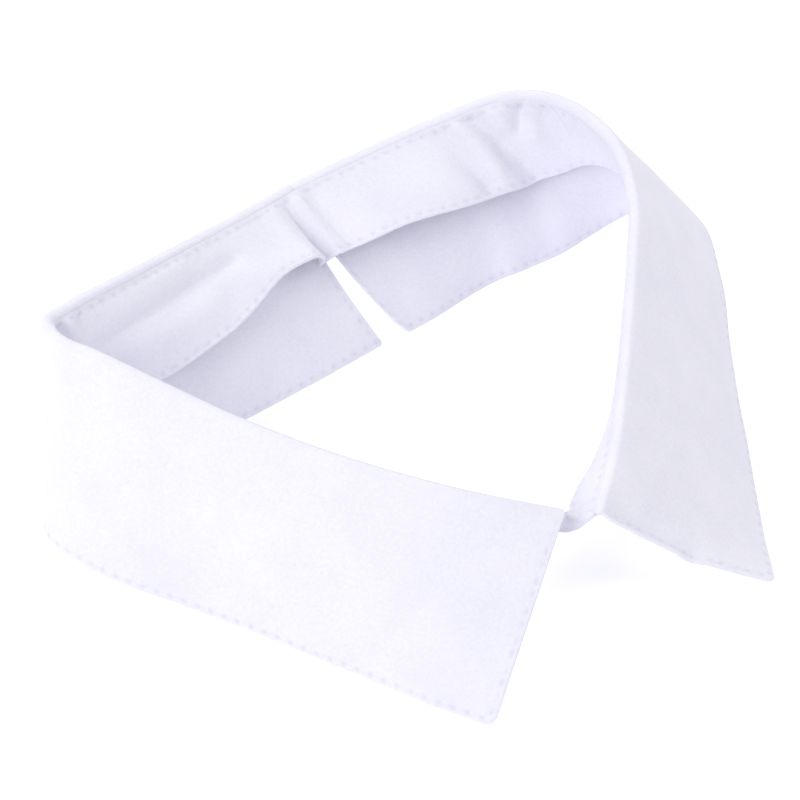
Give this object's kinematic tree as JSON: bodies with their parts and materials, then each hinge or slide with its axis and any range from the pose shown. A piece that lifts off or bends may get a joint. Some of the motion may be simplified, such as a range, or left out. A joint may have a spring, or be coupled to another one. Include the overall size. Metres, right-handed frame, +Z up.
{
  "type": "detachable shirt collar",
  "caption": "White cotton shirt collar without a shirt, turned down over its neckband, fastened at the front and standing open on its hems.",
  "frame": {"origin": "centre of the bounding box in plan, at the table that the hems stand on", "axes": "+Z up out of the neck opening, -Y to the front where the neckband closes, +X to the right seen from the front"},
  "size_m": [0.1612, 0.1609, 0.0456],
  "materials": {
    "white_cotton": "matt woven cotton"
  },
  "bodies": {
    "root": {"leaf_left": "white_cotton", "leaf_right": "white_cotton", "stand": "white_cotton"}
  },
  "joints": []
}
